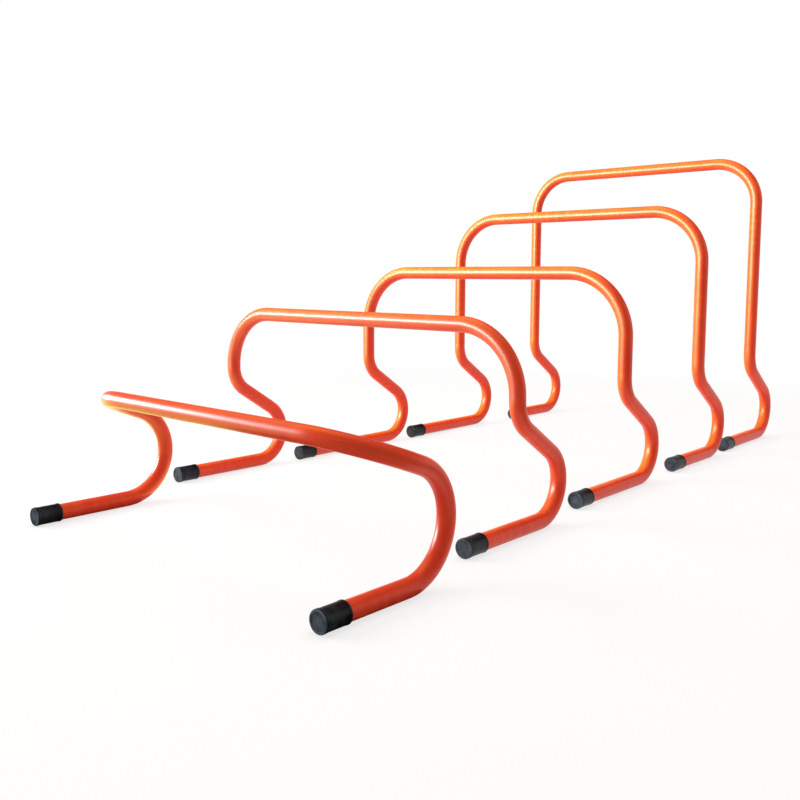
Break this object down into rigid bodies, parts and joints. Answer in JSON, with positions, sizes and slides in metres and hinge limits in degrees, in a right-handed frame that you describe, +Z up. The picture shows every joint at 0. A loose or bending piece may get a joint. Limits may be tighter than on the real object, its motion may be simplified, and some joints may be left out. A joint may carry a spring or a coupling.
{
  "type": "speed hurdle set",
  "caption": "Graduated set of low training hurdles in a row, each bent from one orange plastic tube, with black slip-on caps on its feet",
  "frame": {"origin": "on the floor, in the middle of the set's bounding box", "axes": "+X along the bars from left to right, +Y up the row from the lowest hurdle to the highest, against the feet, +Z up"},
  "size_m": [0.573, 1.2601, 0.523],
  "materials": {
    "tube": "glossy extruded plastic tube, orange-red",
    "cap": "soft moulded plastic, black, satin"
  },
  "bodies": {
    "hurdle_1": {"hurdle_1_tube": "tube", "hurdle_1_cap_left": "cap", "hurdle_1_cap_right": "cap"},
    "hurdle_2": {"hurdle_2_tube": "tube", "hurdle_2_cap_left": "cap", "hurdle_2_cap_right": "cap"},
    "hurdle_3": {"hurdle_3_tube": "tube", "hurdle_3_cap_left": "cap", "hurdle_3_cap_right": "cap"},
    "hurdle_4": {"hurdle_4_tube": "tube", "hurdle_4_cap_left": "cap", "hurdle_4_cap_right": "cap"},
    "hurdle_5": {"hurdle_5_tube": "tube", "hurdle_5_cap_left": "cap", "hurdle_5_cap_right": "cap"}
  },
  "joints": [
    {"name": "spacing_1_2", "type": "slide", "parent": "hurdle_1", "child": "hurdle_2", "axis": [0, 1, 0], "range_m": [-0.03, 0.6]},
    {"name": "spacing_2_3", "type": "slide", "parent": "hurdle_2", "child": "hurdle_3", "axis": [0, 1, 0], "range_m": [-0.02, 0.6]},
    {"name": "spacing_3_4", "type": "slide", "parent": "hurdle_3", "child": "hurdle_4", "axis": [0, 1, 0], "range_m": [0, 0.6]},
    {"name": "spacing_4_5", "type": "slide", "parent": "hurdle_4", "child": "hurdle_5", "axis": [0, 1, 0], "range_m": [-0.015, 0.6]}
  ]
}
